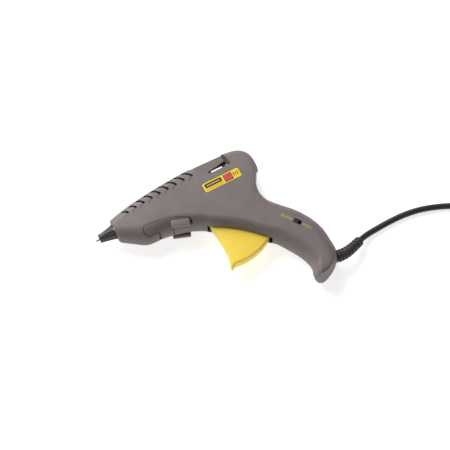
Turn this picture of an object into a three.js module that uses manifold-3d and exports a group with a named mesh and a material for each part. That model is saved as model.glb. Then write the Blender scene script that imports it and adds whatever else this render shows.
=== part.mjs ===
// Corded hot-melt glue gun with a feed trigger, a fold-down front stand and a two-heat switch.
// Millimetres. Design frame: x runs along the barrel from the nozzle tip to the stick inlet, y goes up
// to the top ridge, z comes out of the left flank, and the clamshell parts at z = 0. The exported
// group lays the gun on its right flank, so the row's Z = 0 is the surface that it lies on.
import * as THREE from 'three';
import Module from 'manifold-3d';
import { mergeVertices } from 'three/addons/utils/BufferGeometryUtils.js';

const wasm = await Module();
wasm.setup();

// ---------------------------------------------------------------- driving dimensions
const GAP = 0.3; // between pieces that touch
const SMALLEST = 0.01; // edges shorter than this are closed up
const HALF_WIDTH = 17.5; // half the casing's thickness, and the height of the mid-plane when it lies down
const WALL = 2.5;
const ORIGIN_X = 112; // the row's origin along the barrel, on the right flank

const STICK_R = 5.65; // an 11.3 mm glue stick
const CHANNEL_R = STICK_R + 0.6;
const NOSE_X = 21.6;

const PIVOT = [124, -34]; // trigger pivot
const BLADE_R = 59.6; // the trigger's lower edge is an arc about the pivot
const BLADE_HALF = 6.5;
const PIN_R = 2.5;
const LEVER = 30; // from the pivot to the fork's tip
const TRIGGER_TRAVEL = 22; // degrees
const FORK_Z = [8.9, 10.9];
const FORK_TIP_R = 2.4;

const CARRIAGE_X = [118, 150];
const CARRIAGE_R = 7.9;
// the part of the carriage that the window shows
const FLAG = { x: [157.4, 160.4], top: 12.3, half: 2.5 };

const POCKET_Z = 5; // half the width of the ridge between the two window pockets
const FLOOR = { top: 9.2, slope: 0.39 }; // the pockets' floors run down from the ridge to the flanks
const NEAR_WINDOW = [[137, 9.2], [159.8, 9.2], [158.6, 14], [158.2, 15.4], [137, 11.9]];
const FAR_WINDOW = [[141.4, 9.2], [154.7, 9.2], [154.7, 15.2], [141.4, 15.2]];
const VENTS = 9;
const VENT = { width: 2.1, depth: 9 };

const STAND_HINGE = [51.6, -21];
const STAND_PIN_R = 1.5;
const STAND_Z = 10.6; // the side arms reach from here out to the flank
const STAND_END = 5; // their front ends are round about the hinge
const STAND_PIN = 12.2; // half the pin's length
const BRIDGE = { x: [61.4, 74.6], thick: 2.2 };
const FOOT = { start: [74.6, -26.6], length: 19, height: 6.8, angle: -20 };

const SWITCH = { at: [189, -86.3], angle: -54.3, travel: 3, knob: 5 };
const LABEL = { x: [122, 164], y: [-13.5, -3], thick: 0.5 };

const SCREWS = [[42, -18.5], [101, -22], [169, 15.5], [164, -42], [190, -108], [191, -140]];
const SCREW = { boss: 4.6, shank: 1.4, head: 3, seat: -10 };

const CORD_R = 3.25;
const CORD_Z = CORD_R + 0.15 - HALF_WIDTH; // cord lying on the surface
const COIL = { at: [409, -124], rows: [35.6, 42.4], layers: 3, step: 6.9, lift: 1 };
const PLUG = { at: [458.7, -70], length: 34, width: 26, height: 13, pinR: 2, pinLength: 19, spacing: 18.6 };

// ---------------------------------------------------------------- materials
const paint = (color, roughness, metalness = 0) =>
  new THREE.MeshStandardMaterial({ color, roughness, metalness });
const CASING = paint(0x6d6664, 0.62);
const YELLOW = paint(0xf4c21c, 0.45);
const BLACK = paint(0x221f22, 0.6);
const RUBBER = paint(0x1f1c20, 0.8);
const BRASS = paint(0xc8b37a, 0.3, 1);
const STEEL = paint(0xb9bcc0, 0.35, 1);
const ALLOY = paint(0xa9abad, 0.5, 1);
const CERAMIC = paint(0xe6e0d2, 0.7);
const SILICONE = paint(0xb5442c, 0.7);
const RED_WIRE = paint(0x9c2a22, 0.5);
const BLUE_WIRE = paint(0x2b4a86, 0.5);
const LABEL_INK = paint(0xe9c832, 0.5);

// ---------------------------------------------------------------- solids
function solid(geometry) {
  const bare = geometry.clone();
  bare.deleteAttribute('normal');
  bare.deleteAttribute('uv');
  const merged = mergeVertices(bare, 1e-4);
  const vertProperties = new Float32Array(merged.attributes.position.array);
  const triVerts = new Uint32Array(merged.index.array);
  const made = new wasm.Manifold(new wasm.Mesh({ numProp: 3, vertProperties, triVerts }));
  if (made.volume() > 0) return made;
  const turned = triVerts.slice().reverse();
  return new wasm.Manifold(new wasm.Mesh({ numProp: 3, vertProperties, triVerts: turned }));
}

const join = (...parts) => parts.reduce((a, b) => a.add(b));
const cut = (body, ...tools) => tools.reduce((a, b) => a.subtract(b), body);

function box([x0, x1], [y0, y1], [z0, z1]) {
  const made = new THREE.BoxGeometry(x1 - x0, y1 - y0, z1 - z0);
  return solid(made.translate((x0 + x1) / 2, (y0 + y1) / 2, (z0 + z1) / 2));
}

// a prism of an outline in the x-y plane
function prism(outline, [z0, z1], bevel = 0) {
  const shape = new THREE.Shape(outline.map(([x, y]) => new THREE.Vector2(x, y)));
  const options = {
    depth: z1 - z0 - 2 * bevel,
    bevelEnabled: bevel > 0,
    bevelThickness: bevel,
    bevelSize: bevel,
    bevelOffset: -bevel,
    bevelSegments: 2,
  };
  return solid(new THREE.ExtrudeGeometry(shape, options).translate(0, 0, z0 + bevel));
}

const bothSides = (outline, [z0, z1]) => join(prism(outline, [z0, z1]), prism(outline, [-z1, -z0]));

// a cylinder across the gun, along z
function rod([x, y], radius, [z0, z1], sides = 20) {
  const made = new THREE.CylinderGeometry(radius, radius, z1 - z0, sides).rotateX(Math.PI / 2);
  return solid(made.translate(x, y, (z0 + z1) / 2));
}

// a solid turned about the barrel axis from [x, radius] points that close on themselves
function turned(profile, sides = 24) {
  const closed = [...profile, profile[0]].map(([x, r]) => new THREE.Vector2(r, x));
  return solid(new THREE.LatheGeometry(closed, sides).rotateZ(-Math.PI / 2));
}

// a solid cylinder about the barrel axis
function barrel(radius, [x0, x1], sides = 24) {
  const made = new THREE.CylinderGeometry(radius, radius, x1 - x0, sides).rotateZ(Math.PI / 2);
  return solid(made.translate((x0 + x1) / 2, 0, 0));
}

// a closed skin over rings of points, all with the same count
function loft(rings) {
  const count = rings[0].length;
  const position = rings.flat().flatMap((p) => [p.x, p.y, p.z]);
  const index = [];
  for (let i = 0; i + 1 < rings.length; i++) {
    for (let j = 0; j < count; j++) {
      const k = (j + 1) % count;
      const [a, b, c, d] = [i * count + j, i * count + k, (i + 1) * count + k, (i + 1) * count + j];
      index.push(a, b, c, a, c, d);
    }
  }
  const last = (rings.length - 1) * count;
  for (let j = 1; j + 1 < count; j++) index.push(0, j + 1, j, last, last + j, last + j + 1);
  const made = new THREE.BufferGeometry();
  made.setAttribute('position', new THREE.Float32BufferAttribute(position, 3));
  made.setIndex(index);
  return solid(made);
}

const curve = (points) =>
  new THREE.CatmullRomCurve3(points.map((p) => new THREE.Vector3(...p)), false, 'centripetal');

// a round tube along a curve
function tube(points, radius, steps, sides = 8) {
  const ring = new THREE.Shape();
  for (let i = 0; i < sides; i++) {
    const a = (i * 2 * Math.PI) / sides;
    const x = radius * Math.cos(a);
    const y = radius * Math.sin(a);
    if (i) ring.lineTo(x, y);
    else ring.moveTo(x, y);
  }
  ring.closePath();
  return solid(new THREE.ExtrudeGeometry(ring, { steps, extrudePath: curve(points), bevelEnabled: false }));
}

// rings about a curve, one for each radius, spaced evenly along it
function bentRings(path, radii, sides) {
  const frames = path.computeFrenetFrames(radii.length - 1, false);
  return radii.map((r, i) => {
    const at = path.getPointAt(i / (radii.length - 1));
    return Array.from({ length: sides }, (_, j) => {
      const a = (j * 2 * Math.PI) / sides;
      return at.clone().addScaledVector(frames.normals[i], r * Math.cos(a))
        .addScaledVector(frames.binormals[i], r * Math.sin(a));
    });
  });
}

const polar = ([x, y], radius, degrees) => {
  const a = THREE.MathUtils.degToRad(degrees);
  return [x + radius * Math.cos(a), y + radius * Math.sin(a)];
};

const arc = (centre, radius, from, to, steps) =>
  Array.from({ length: steps + 1 }, (_, i) => polar(centre, radius, from + ((to - from) * i) / steps));

// a rectangle turned about its centre
function slanted([x, y], length, width, degrees) {
  const a = THREE.MathUtils.degToRad(degrees);
  return [[-1, -1], [1, -1], [1, 1], [-1, 1]].map(([i, j]) => [
    x + (i * length * Math.cos(a) - j * width * Math.sin(a)) / 2,
    y + (i * length * Math.sin(a) + j * width * Math.cos(a)) / 2,
  ]);
}

// ---------------------------------------------------------------- casing
// Stations from the nose to the heel: top (or back) point, bottom (or front) point, half thickness,
// and how far the rounding reaches in from each edge.
const STATIONS = [
  { top: [21.6, 12.4], bottom: [21.6, -12.4], half: 12.4, round: [12.4, 12.4] },
  { top: [36, 15.8], bottom: [34.2, -21.4], half: 14.4, round: [12, 15] },
  { top: [51, 18.2], bottom: [45.5, -28.4], half: 16.6, round: [11.5, 16] },
  { top: [71, 20.6], bottom: [66, -30], half: 17.4, round: [11, 15] },
  { top: [95, 22.7], bottom: [88, -34.8], half: 17.5, round: [10.5, 14] },
  { top: [118, 23.6], bottom: [104.4, -42.2], half: 17.5, round: [10, 12] },
  { top: [143, 23.2], bottom: [111, -47.2], half: 17.5, round: [10, 11] },
  { top: [162, 22.2], bottom: [117.5, -51], half: 17.5, round: [10, 11] },
  { top: [176.5, 18.6], bottom: [124, -55.1], half: 17.5, round: [10, 11] },
  { top: [184, 11], bottom: [129.5, -59.1], half: 17.5, round: [10, 11] },
  { top: [185.8, 1], bottom: [134, -62.7], half: 17.5, round: [10, 11] },
  { top: [183.2, -10], bottom: [138.5, -66.5], half: 17.5, round: [10, 11] },
  { top: [176.6, -20.5], bottom: [143, -70.8], half: 17.5, round: [11, 11] },
  { top: [173.2, -33], bottom: [147.5, -75.4], half: 17.5, round: [12, 11] },
  { top: [176, -45], bottom: [152, -80.3], half: 17.5, round: [12, 11] },
  { top: [185.8, -57.2], bottom: [156.4, -84.7], half: 17.5, round: [12, 11] },
  { top: [196.6, -69.8], bottom: [161.8, -89.6], half: 17.5, round: [12, 12] },
  { top: [205.8, -84.5], bottom: [168.4, -100], half: 17.5, round: [13, 13] },
  { top: [211, -100], bottom: [174.9, -111.5], half: 17.5, round: [13, 13] },
  { top: [212, -115], bottom: [179.4, -122.5], half: 17.5, round: [13, 13] },
  { top: [211.6, -127], bottom: [180.6, -132], half: 17.5, round: [13, 12] },
  { top: [207.6, -136.6], bottom: [178.2, -140.2], half: 17.4, round: [10, 9] },
  { top: [201.6, -142.2], bottom: [178.8, -144.8], half: 17, round: [7, 6] },
  { top: [194, -145.6], bottom: [182.6, -147.2], half: 16, round: [4, 4] },
];
const EDGE_STEPS = 4; // facets of each rounded edge

const track = (pick) => curve(STATIONS.map(pick));
const TOP = track((s) => [...s.top, 0]);
const BOTTOM = track((s) => [...s.bottom, 0]);
const BULK = track((s) => [s.half, ...s.round]);

// the point of an outline moved inwards by a skin: side is -1 for the top outline and 1 for the bottom one
function inset(line, u, side, skin) {
  const along = line.getPoint(Math.min(1, u + 0.004)).sub(line.getPoint(Math.max(0, u - 0.004)));
  const across = new THREE.Vector3(-along.y, along.x, 0).setLength(side * skin);
  return line.getPoint(u).add(across);
}

// the casing's outside shape, or with a skin the space that far inside it
function hull(skin, [first, last], steps) {
  const rings = [];
  for (let i = 0; i <= steps; i++) {
    const u = first + ((last - first) * i) / steps;
    const top = inset(TOP, u, -1, skin);
    const bottom = inset(BOTTOM, u, 1, skin);
    const bulk = BULK.getPoint(u);
    const span = top.distanceTo(bottom);
    const fit = Math.min(1, span / (bulk.y + bulk.z - 2 * skin));
    const [above, below] = [(bulk.y - skin) * fit, (bulk.z - skin) * fit];
    const half = bulk.x - skin;
    const side = [];
    for (let j = 0; j <= EDGE_STEPS; j++) {
      const a = (j * Math.PI) / 2 / EDGE_STEPS;
      side.push([(above * (1 - Math.cos(a))) / span, half * Math.sin(a)]);
    }
    for (let j = EDGE_STEPS; j >= 0; j--) {
      const a = (j * Math.PI) / 2 / EDGE_STEPS;
      side.push([1 - (below * (1 - Math.cos(a))) / span, half * Math.sin(a)]);
    }
    const there = (t, z) => top.clone().lerp(bottom, t).setZ(z);
    const back = side.slice(1, -1).reverse();
    rings.push([...side.map(([t, z]) => there(t, z)), ...back.map(([t, z]) => there(t, -z))]);
  }
  return loft(rings);
}

// the pockets on both sides of the ridge, larger by g
function pockets(g) {
  const outline = [
    [114 - g, 31], [119.5 - g, 19], [130 - g, 9.3], [136.8 - g, 3.6], [137 - g, -4], [160.8 + g, -4],
    [160.2 + g, 9], [157.6 + g, 20], [156 + g, 31],
  ];
  const [inner, outer] = [POCKET_Z, 30];
  const edge = FLOOR.top - g * Math.hypot(1, FLOOR.slope);
  const low = edge - FLOOR.slope * (outer - inner);
  const section = [[-outer, low], [-inner, edge], [inner, edge], [outer, low], [outer, -20], [-outer, -20]];
  const shape = new THREE.Shape(section.map(([z, y]) => new THREE.Vector2(z, y)));
  const [front, rear] = [110, 170];
  const under = new THREE.ExtrudeGeometry(shape, { depth: rear - front, bevelEnabled: false });
  const floors = solid(under.rotateY(Math.PI / 2).translate(front, 0, 0));
  return cut(bothSides(outline, [inner - g, outer]), floors);
}

// the belly's outer skin under the stand's bridge
const bellySkin = (from, to, [x0, x1]) =>
  cut(hull(from, [0.04, 0.24], 10), hull(to, [0.02, 0.26], 10)).intersect(box([x0, x1], [-60, -22], [-30, 30]));

// the recess that the folded stand lies in, wider by g
function standRecess(g) {
  const [hx, hy] = STAND_HINGE;
  const sides = [
    [hx - 3, hy - 20], ...arc(STAND_HINGE, STAND_END + 0.4 + g, -125, -280, 12), [66.4, -17.2 + g],
    [74.2, -18.9 + g], [85.1, -23.3 + g], [95.6 + g, -29.2 + g], [95.6 + g, hy - 20],
  ];
  const [x0, x1] = BRIDGE.x;
  const under = cut(
    box([x0 - 2.2 - g, x1 + 0.8 + g], [-60, -20], [-30, 30]),
    hull(BRIDGE.thick + 0.5 + g, [0.02, 0.26], 10),
    box([x0 - 9, x1 + 9], [-22, 60], [-STAND_Z, STAND_Z]),
  );
  return join(bothSides(sides, [STAND_Z - 0.5 - g, 30]), under);
}

// slots on both sides of the ridge, each running back and down from it
function vents() {
  const slots = [];
  for (let i = 0; i < VENTS; i++) {
    const from = [37 + 9.1 * i, 10 + 1.55 * i - 0.07 * i * i];
    const to = [41.8 + 9.55 * i, 6.5 + 0.57 * i];
    const middle = [(from[0] + to[0]) / 2, (from[1] + to[1]) / 2];
    const run = [to[0] - from[0], to[1] - from[1]];
    const slope = THREE.MathUtils.radToDeg(Math.atan2(run[1], run[0]));
    slots.push(bothSides(slanted(middle, Math.hypot(...run), VENT.width, slope), [VENT.depth, 30]));
  }
  return join(...slots);
}

function casing() {
  const outside = cut(
    hull(0, [0, 1], 46),
    pockets(0),
    standRecess(0),
    barrel(10.8, [181.7, 200]),
  );
  const inside = cut(
    hull(WALL, [0.004, 0.955], 38).intersect(box([NOSE_X + 3, 300], [-200, 60], [-30, 30])),
    pockets(2),
    standRecess(2),
    box([179.2, 200], [-12, 12], [-30, 30]),
  );
  const ribs = join(
    bothSides([[104, 9], [118, 9], [118, 10.6], [104, 10.6]], [5, 16]),
    bothSides([[139, -9.9], [166, -9.9], [166, -8.4], [139, -8.4]], [5.4, 16]),
    bothSides([[163, -9.2], [166, -9.2], [166, -8], [163, -8]], [3, 16]),
  ).intersect(hull(1, [0.02, 0.98], 44));
  const bosses = SCREWS.map((at) => rod(at, SCREW.boss, [-16.3, 16.3], 16));
  const screwPosts = join(...bosses).intersect(hull(1, [0.02, 0.98], 44));
  const pivotPosts = cut(
    rod(PIVOT, 5, [-16.3, 16.3]),
    rod(PIVOT, 5.5, [-FORK_Z[1] - 0.5, FORK_Z[1] + 0.5]),
  );
  const pinHoles = [rod(PIVOT, PIN_R + 0.3, [-14, 14]), standPinHole()];
  const screwHoles = SCREWS.flatMap((at) => [
    rod(at, SCREW.shank + GAP, [-30, 11.5], 12),
    rod(at, SCREW.head + 0.4, [-30, SCREW.seat], 16),
  ]);
  const slot = [
    [107.2, -28], [107.2, -62], [156, -102], [160.2, -86], [163, -80.5], [141, -50], [128, -28],
  ];
  const [sx, sy] = SWITCH.at;
  return cut(
    join(outside.subtract(inside), ribs, screwPosts, pivotPosts, standBoss()),
    ...pinHoles,
    ...screwHoles,
    prism(slot, [-BLADE_HALF - 0.7, BLADE_HALF + 0.7]),
    prism(NEAR_WINDOW, [0, POCKET_Z + GAP]),
    prism(FAR_WINDOW, [-POCKET_Z - GAP, 0]),
    vents(),
    barrel(7.2, [10, 32]),
    barrel(8.6, [176, 200]),
    prism(slanted([sx, sy], SWITCH.knob + SWITCH.travel + 2 * GAP, 4.8, SWITCH.angle), [10, 30]),
    box([LABEL.x[0] - GAP, LABEL.x[1] + GAP], [LABEL.y[0] - GAP, LABEL.y[1] + GAP], [HALF_WIDTH - 0.8, 30]),
    reliefSeat(),
  );
}

// the lug across the belly that carries the stand's pin
const standBoss = () => rod(STAND_HINGE, 4.2, [-STAND_Z + 0.5, STAND_Z - 0.5]);
const standPinHole = () => rod(STAND_HINGE, STAND_PIN_R + GAP, [-STAND_PIN - GAP, STAND_PIN + GAP], 16);

// ---------------------------------------------------------------- hot end
function nozzle() {
  return turned([[0, 0.8], [0, 1.9], [3.4, 2.1], [4.6, 3], [19, 6], [22.2, 6], [22.2, 2.6], [4, 2.6], [3, 0.8]]);
}

const SLEEVE = [[4.2, 3.3], [4.2, 4.9], [7, 5.2], [19.2, 7.7], [21.2, 8.1], [21.2, 6.4], [19, 6.4]];
const nozzleSleeve = () => turned(SLEEVE);

function chamber() {
  return turned([
    [22.6, 2.6], [22.6, 6.4], [33, 6.4], [34, 8.4], [76, 8.4], [76, 7.1], [84, 7.1], [84, CHANNEL_R],
    [48, CHANNEL_R - 0.2], [34, 2.6],
  ]);
}

const ring = (inner, outer, x0, x1) => turned([[x0, inner], [x0, outer], [x1, outer], [x1, inner]]);

function inletSleeve() {
  return turned([[77, 7.4], [77, 9], [84.6, 9], [100, 7.8], [100, CHANNEL_R], [86, CHANNEL_R], [84.4, 7.4]]);
}

function heaterClip() {
  const wrap = cut(ring(8.7, 9.7, 46, 58), box([40, 64], [-30, 0], [-6.9, 6.9]));
  const tray = cut(
    box([46, 58], [-14.6, -5.6], [-7.9, 7.9]),
    box([40, 64], [-13.6, 0], [-6.9, 6.9]),
    barrel(8.7, [40, 64]),
  );
  return join(wrap, tray);
}

function thermalFuse() {
  const can = new THREE.CylinderGeometry(2, 2, 10, 12).rotateZ(Math.PI / 2).translate(83, -15, -9);
  const lead = tube([[78.4, -15, -9], [73, -15.4, -8], [69, -14, -5], [65, -12, -4]], 0.7, 8, 6);
  return join(solid(can), lead);
}

// ---------------------------------------------------------------- feed
// the fork tip's place when the trigger is at rest; it swings the same way to both sides of upright
const forkTip = polar(PIVOT, LEVER, 90 - TRIGGER_TRAVEL / 2);

function trigger() {
  const front = [[117, -31], [111, -39.5], [111.8, -54], [112.2, -64], [112, -73], [111, -81], [109.4, -88]];
  const tip = [[107.9, -92.4], [108.1, -94.4], [109.6, -95]];
  const edge = arc(PIVOT, BLADE_R, -100, -53.5, 12);
  const rear = [[159, -76.5], [150, -62], [136, -42], [130, -31]];
  const blade = prism([...front, ...tip, ...edge, ...rear], [-BLADE_HALF, BLADE_HALF], 1);
  const hub = rod(PIVOT, 6.2, [-FORK_Z[1], FORK_Z[1]]);
  const [tx, ty] = forkTip;
  const arm = [[PIVOT[0] - 5, PIVOT[1] + 2], [PIVOT[0] + 5.6, PIVOT[1] + 0.5], [tx + 1.9, ty], [tx - 1.9, ty]];
  const tips = [1, -1].map((s) => rod(forkTip, FORK_TIP_R, s > 0 ? FORK_Z : [-FORK_Z[1], -FORK_Z[0]], 20));
  return cut(
    join(blade, hub, bothSides(arm, FORK_Z), ...tips),
    rod(PIVOT, PIN_R + GAP, [-20, 20]),
  );
}

function carriage() {
  const [x0, x1] = CARRIAGE_X;
  const cage = barrel(CARRIAGE_R, [x0, x1]).intersect(
    join(
      box([x0 - 1, x1 + 1], [-20, 6], [-20, 20]),
      box([x0 - 1, x1 + 1], [-20, 20], [-FLAG.half, FLAG.half]),
    ),
  );
  const flag = join(
    box([x1 - 4, FLAG.x[1]], [6.6, 8.6], [-FLAG.half, FLAG.half]),
    box(FLAG.x, [6.6, FLAG.top], [-FLAG.half, FLAG.half]),
  );
  const [tx, ty] = forkTip;
  const slotHalf = FORK_TIP_R + 0.4;
  const lugs = [tx - slotHalf - 2.5, tx + slotHalf].map((x) =>
    bothSides([[x, ty - 1.2], [x + 2.5, ty - 1.2], [x + 2.5, ty + 4], [x, ty + 4]], [5, FORK_Z[1]]));
  const ears = bothSides([[131, -12.6], [137, -12.6], [138, -5], [130, -5]], [4.5, 6.2]);
  const hook = box([146, 149.5], [-12.6, -6.5], [-1.2, 1.2]);
  return cut(
    join(cage, flag, ...lugs, ears, hook),
    barrel(CHANNEL_R + 0.15, [x0 - 5, FLAG.x[1] + 5]),
    box([121, 137.4], [-20, 0], [-4.3, 4.3]),
    rod(JAW_PIVOT, 1.2 + GAP, [-20, 20], 16),
  );
}

const JAW_PIVOT = [134, -9.9];
function gripperJaw() {
  const teeth = [[123.4, -6.7], [124.6, -7.5], [125.6, -6.7], [126.8, -7.5], [127.8, -6.8], [129, -7.6]];
  const outline = [...teeth, [134, -7.3], [136.4, -8.6], [136.4, -11.4], [134, -12.4], [123.4, -10]];
  return cut(prism(outline, [-3.8, 3.8]), rod(JAW_PIVOT, 1.2 + GAP, [-20, 20], 16));
}

function returnSpring() {
  const turns = 9;
  const [x0, x1] = [150.4, 171.6];
  const points = [];
  for (let i = 0; i <= turns * 8; i++) {
    const a = (i * 2 * Math.PI) / 8;
    points.push([x0 + ((x1 - x0) * i) / (turns * 8), -12.6 + 2.2 * Math.cos(a), 2.2 * Math.sin(a)]);
  }
  return tube(points, 0.45, turns * 10, 5);
}

function stickCollar() {
  return turned([
    [167, CHANNEL_R + 0.35], [167, 8], [182, 8], [182, 10.4], [184.3, 10.4], [184.9, 9.8],
    [184.9, 7.6], [183.3, CHANNEL_R + 0.35],
  ]);
}

// ---------------------------------------------------------------- stand, switch, label
function stand() {
  const arm = [
    ...arc(STAND_HINGE, STAND_END, -60, -280, 14), [66.4, -17.6], [74.2, -19.3], [85.1, -23.7], [95, -29.7],
    [92.2, -36.1], [76, -31], [75, -35], [BRIDGE.x[0], -33], [BRIDGE.x[0], -28.4],
  ];
  const arms = bothSides(arm, [STAND_Z, 30]).intersect(hull(0, [0.04, 0.24], 10));
  const foot = slanted(footCentre(), FOOT.length, FOOT.height, FOOT.angle);
  const feet = bothSides(foot, [STAND_Z + 1.6, HALF_WIDTH - 0.05]);
  return cut(join(arms, bellySkin(0, BRIDGE.thick, BRIDGE.x), feet), standPinHole());
}

function footCentre() {
  const [x, y] = FOOT.start;
  return polar([x, y], FOOT.length / 2, FOOT.angle);
}

function switchKnob() {
  const at = polar(SWITCH.at, -SWITCH.travel / 2, SWITCH.angle);
  return join(
    prism(slanted(at, SWITCH.knob, 4.2, SWITCH.angle), [13.8, HALF_WIDTH - 0.1]),
    prism(slanted(at, 8, 7, SWITCH.angle), [12.4, 14.2]),
  );
}

const switchBody = () => prism(slanted(SWITCH.at, 17, 10, SWITCH.angle), [3.5, 12], 0.6);

const ratingLabel = () => box(LABEL.x, LABEL.y, [HALF_WIDTH - LABEL.thick, HALF_WIDTH]);

// ---------------------------------------------------------------- screws
function screw([x, y], seat, length) {
  const shank = rod([x, y], SCREW.shank, [seat - GAP - 0.4, seat + length], 12);
  const head = rod([x, y], SCREW.head, [seat - GAP - 2.4, seat - GAP], 16);
  const cross = [[1.9, 0.5], [0.5, 1.9]].map(([a, b]) =>
    box([x - a, x + a], [y - b, y + b], [seat - 5, seat - GAP - 1.2]));
  return cut(join(shank, head), ...cross);
}

// ---------------------------------------------------------------- cord
const RELIEF_PATH = [[205.5, -132.6, 0], [212, -133.6, -0.2], [220, -133.4, -1.6], [229, -131, -4.2],
  [240.5, -126.6, -8.8]];
const reliefCurve = curve(RELIEF_PATH);
// the lip inside the casing, the groove that its wall sits in, then the taper
const RELIEF_RADII = [7, 5.8, 7, 6.8, 6.6, 6.4, 6.2, 6, 5.8, 5.6, 5.4, 5.2];

const strainRelief = () => cut(loft(bentRings(reliefCurve, RELIEF_RADII, 12)), reliefBore());

function reliefBore() {
  const before = reliefCurve.getPoint(0).addScaledVector(reliefCurve.getTangent(0), -4);
  const after = reliefCurve.getPoint(1).addScaledVector(reliefCurve.getTangent(1), 4);
  return tube([before.toArray(), ...RELIEF_PATH, after.toArray()], CORD_R + GAP, 20, 12);
}

// the hole in the casing's heel for the strain relief's groove
function reliefSeat() {
  const through = curve([[200, -131.6, 0], [208, -133, 0], [214, -133.9, -0.4], [220, -133.6, -1.6]]);
  return loft(bentRings(through, [8, 7.4, 7.2, 7.4], 12));
}

const LEAD_PATH = [
  [242.3, -125.8, -9.6], [248, -124, -11.6], [255, -122.6, -13.2], [264, -121.8, -13.9], [278, -121.2, CORD_Z],
  [296, -121.6, CORD_Z], [314, -124.4, CORD_Z], [330, -129.4, CORD_Z], [345, -136, CORD_Z],
  [357, -142.9, CORD_Z], [366.2, -148.2, CORD_Z],
];
// round the coil's outside and down to the plug: x, y and height over the surface
const TAIL_PATH = [
  [448.2, -154.6, 6.6], [452.9, -147.3, 5.1], [456.3, -139.4, 4.05], [458.2, -130.9, 3.55], [458.7, -124, 3.5],
  [458.7, -112, 3.5], [458.7, -100, 3.7], [458.7, -88, 4.8], [458.7, -78, 5.9], [458.7, -70.4, 6.4],
].map(([x, y, height]) => [x, y, height - HALF_WIDTH]);
const INNER_PATH = [[203.5, -131.4, 0], [200, -128.5, 0], [197.5, -123, 0], [196.5, -116, 0], [196, -112, 0]];

function cordCoil() {
  const inner = COIL.rows[0] - 3.45;
  const outer = COIL.rows[1] + 3.45;
  const low = COIL.lift - HALF_WIDTH;
  const high = low + COIL.step * (COIL.layers - 1) + 2 * CORD_R;
  const r = 3;
  const profile = [[inner, low + r], [inner, high - r], [inner + r, high], [outer - r, high], [outer, high - r],
    [outer, low + r], [outer - r, low], [inner + r, low], [inner, low + r]];
  const made = new THREE.LatheGeometry(profile.map((p) => new THREE.Vector2(...p)), 32).rotateX(Math.PI / 2);
  return solid(made.translate(...COIL.at, 0));
}

function cordTie() {
  const inner = COIL.rows[0] - 3.45;
  const outer = COIL.rows[1] + 3.45;
  const low = -HALF_WIDTH;
  const high = low + COIL.lift + COIL.step * (COIL.layers - 1) + 2 * CORD_R;
  const [x, y] = COIL.at;
  const half = 3;
  return cut(
    box([x - half, x + half], [y + inner - 1.1, y + outer + 1.3], [low + 0.1, high + 1.1]),
    box([x - 9, x + 9], [y + inner - 0.3, y + outer + 0.3], [low + 0.8, high + GAP]),
  );
}

function plugBody() {
  const [x, y] = PLUG.at;
  const w = PLUG.width / 2;
  const outline = [[x - 5, y], [x + 5, y], [x + 6, y + 10], [x + w, y + 17], [x + w, y + PLUG.length],
    [x - w, y + PLUG.length], [x - w, y + 17], [x - 6, y + 10]];
  return prism(outline, [-HALF_WIDTH, PLUG.height - HALF_WIDTH], 1.5);
}

function plugPin(side) {
  const [x, y] = PLUG.at;
  const from = y + PLUG.length + GAP;
  const made = new THREE.CylinderGeometry(PLUG.pinR, PLUG.pinR, PLUG.pinLength, 16);
  return solid(made.translate(x + (side * PLUG.spacing) / 2, from + PLUG.pinLength / 2, PLUG.height / 2 - HALF_WIDTH));
}

function cordClamp() {
  return cut(box([188.5, 204.5], [-124, -118.5], [0.6, 6]), tube(INNER_PATH, CORD_R + GAP, 12, 12));
}

// ---------------------------------------------------------------- assembly
const gun = new THREE.Group();
gun.position.set(-ORIGIN_X, 0, HALF_WIDTH);

function add(name, made, material) {
  const { vertProperties, triVerts } = made.simplify(SMALLEST).getMesh();
  const geometry = new THREE.BufferGeometry();
  geometry.setAttribute('position', new THREE.Float32BufferAttribute(vertProperties, 3));
  geometry.setIndex(Array.from(triVerts));
  geometry.computeVertexNormals();
  const mesh = new THREE.Mesh(geometry, material);
  mesh.name = name;
  gun.add(mesh);
}

const shell = casing();
add('body_left', shell.intersect(box([-10, 300], [-200, 60], [GAP / 2, 40])), CASING);
add('body_right', shell.intersect(box([-10, 300], [-200, 60], [-40, -GAP / 2])), CASING);
add('nozzle_tip', nozzle(), BRASS);
add('nozzle_sleeve', nozzleSleeve(), RUBBER);
add('heating_chamber', chamber(), ALLOY);
add('chamber_ring_front', ring(6.7, 9.6, 28, 31.5), CERAMIC);
add('chamber_ring_rear', ring(8.7, 13.4, 68, 71), CERAMIC);
add('ptc_heater', box([40, 64], [-13.3, -9], [-6.5, 6.5]), CERAMIC);
add('heater_clip', heaterClip(), STEEL);
add('thermal_fuse', thermalFuse(), ALLOY);
add('inlet_sleeve', inletSleeve(), SILICONE);
add('sleeve_clamp', ring(9.3, 10.1, 78.5, 82.5), STEEL);
add('feed_carriage', carriage(), YELLOW);
add('gripper_jaw', gripperJaw(), STEEL);
add('jaw_pin', rod(JAW_PIVOT, 1.2, [-6.6, 6.6], 16), STEEL);
add('return_spring', returnSpring(), STEEL);
add('trigger', trigger(), YELLOW);
add('trigger_pin', rod(PIVOT, PIN_R, [-13.6, 13.6]), STEEL);
add('stick_collar', stickCollar(), BLACK);
add('stand', stand(), CASING);
add('stand_pin', rod(STAND_HINGE, STAND_PIN_R, [-STAND_PIN, STAND_PIN], 16), STEEL);
add('switch_knob', switchKnob(), BLACK);
add('switch_body', switchBody(), BLACK);
add('rating_label', ratingLabel(), LABEL_INK);
add('live_wire', tube([[184, -72, 7], [178, -64, 11], [164, -58, 12.4], [154, -44, 12.4], [148, -28, 12.4],
  [124, -20, 12.4], [101, -13, 12.2], [86, -15, 10], [72, -15.6, 6], [65, -12, 4]], 1, 30, 8), RED_WIRE);
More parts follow.
